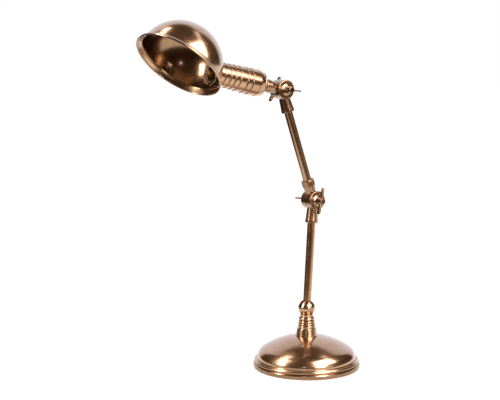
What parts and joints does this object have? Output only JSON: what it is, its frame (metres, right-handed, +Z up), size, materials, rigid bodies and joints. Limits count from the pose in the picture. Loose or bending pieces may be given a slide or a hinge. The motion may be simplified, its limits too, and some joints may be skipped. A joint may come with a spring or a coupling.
{
  "type": "desk lamp",
  "caption": "Desk lamp with a weighted spun base, slotted swivel ball, jointed straight arms with winged clamps, ribbed lampholder and a tilted dome shade.",
  "frame": {"origin": "centre of the felt pad's underside, on the table", "axes": "+Z is up; the arms move in the XZ plane with the shade towards -X; the clamps' wing nuts are towards -Y"},
  "size_m": [0.3626, 0.165, 0.5312],
  "materials": {
    "antique_brass": "spun and aged, clear lacquered",
    "dark_brass": "dark aged",
    "bright_brass": "polished, lightly aged",
    "plated_steel": "zinc plated",
    "fibre": "pressed fibre",
    "cast_iron": "rough cast, painted",
    "felt": "pressed wool",
    "rubber": "moulded",
    "porcelain": null
  },
  "bodies": {
    "base": {"base_cover": "antique_brass", "base_weight": "cast_iron", "base_felt": "felt", "threaded_nipple": "plated_steel", "nipple_washer": "plated_steel", "nipple_nut": "plated_steel", "cord_bushing": "rubber", "stem_cone": "antique_brass", "stem_column": "antique_brass"},
    "swivel": {"swivel_ball": "antique_brass", "tilt_pin": "dark_brass", "swivel_washer": "plated_steel", "swivel_nut": "plated_steel"},
    "lower_arm": {"tilt_lug": "antique_brass", "lower_arm_tube": "antique_brass", "elbow_near_half": "antique_brass", "elbow_friction_washer": "fibre", "elbow_near_washer": "dark_brass"},
    "elbow_bolt": {"elbow_wing_bolt": "bright_brass"},
    "elbow_nut": {"elbow_wing_nut": "bright_brass"},
    "upper_arm": {"elbow_far_half": "antique_brass", "elbow_far_washer": "dark_brass", "upper_arm_tube": "antique_brass", "wrist_near_half": "antique_brass", "wrist_friction_washer": "fibre", "wrist_near_washer": "dark_brass"},
    "wrist_bolt": {"wrist_wing_bolt": "bright_brass"},
    "wrist_nut": {"wrist_wing_nut": "bright_brass"},
    "head": {"wrist_far_half": "antique_brass", "wrist_far_washer": "dark_brass", "head_nipple": "plated_steel", "lampholder_cap": "antique_brass", "lampholder_cover": "antique_brass", "clamp_ring_rear": "antique_brass", "clamp_ring_front": "antique_brass", "lampholder_insulator": "porcelain", "screw_shell": "bright_brass", "centre_contact": "bright_brass", "terminal_screws": "bright_brass", "shade_ring_nut": "antique_brass"},
    "shade": {"shade": "antique_brass", "shade_collar": "antique_brass"}
  },
  "joints": [
    {"name": "base_swivel", "type": "hinge", "parent": "base", "child": "swivel", "pos_m": [0, 0, 0.09229], "axis": [0, 0, 1], "range_deg": [-170, 170]},
    {"name": "base_tilt", "type": "hinge", "parent": "swivel", "child": "lower_arm", "pos_m": [0, 0, 0.09229], "axis": [0, 1, 0], "range_deg": [-47, 40]},
    {"name": "elbow", "type": "hinge", "parent": "lower_arm", "child": "upper_arm", "pos_m": [0.01055, 0, 0.25996], "axis": [0, 1, 0], "range_deg": [-88, 135]},
    {"name": "wrist", "type": "hinge", "parent": "upper_arm", "child": "head", "pos_m": [-0.04865, 0, 0.42995], "axis": [0, -1, 0], "range_deg": [-165, 52]},
    {"name": "shade_turn", "type": "hinge", "parent": "head", "child": "shade", "pos_m": [-0.22588, 0, 0.46924], "axis": [-0.9763, 0, 0.2164], "continuous": true},
    {"name": "elbow_bolt_turn", "type": "hinge", "parent": "lower_arm", "child": "elbow_bolt", "pos_m": [0.01055, 0, 0.25996], "axis": [0, 1, 0], "range_deg": [-180, 180]},
    {"name": "elbow_nut_turn", "type": "hinge", "parent": "elbow_bolt", "child": "elbow_nut", "pos_m": [0.01055, 0, 0.25996], "axis": [0, 1, 0], "range_deg": [-180, 180]},
    {"name": "wrist_bolt_turn", "type": "hinge", "parent": "upper_arm", "child": "wrist_bolt", "pos_m": [-0.04865, 0, 0.42995], "axis": [0, 1, 0], "range_deg": [-180, 180]},
    {"name": "wrist_nut_turn", "type": "hinge", "parent": "wrist_bolt", "child": "wrist_nut", "pos_m": [-0.04865, 0, 0.42995], "axis": [0, 1, 0], "range_deg": [-180, 180]}
  ]
}
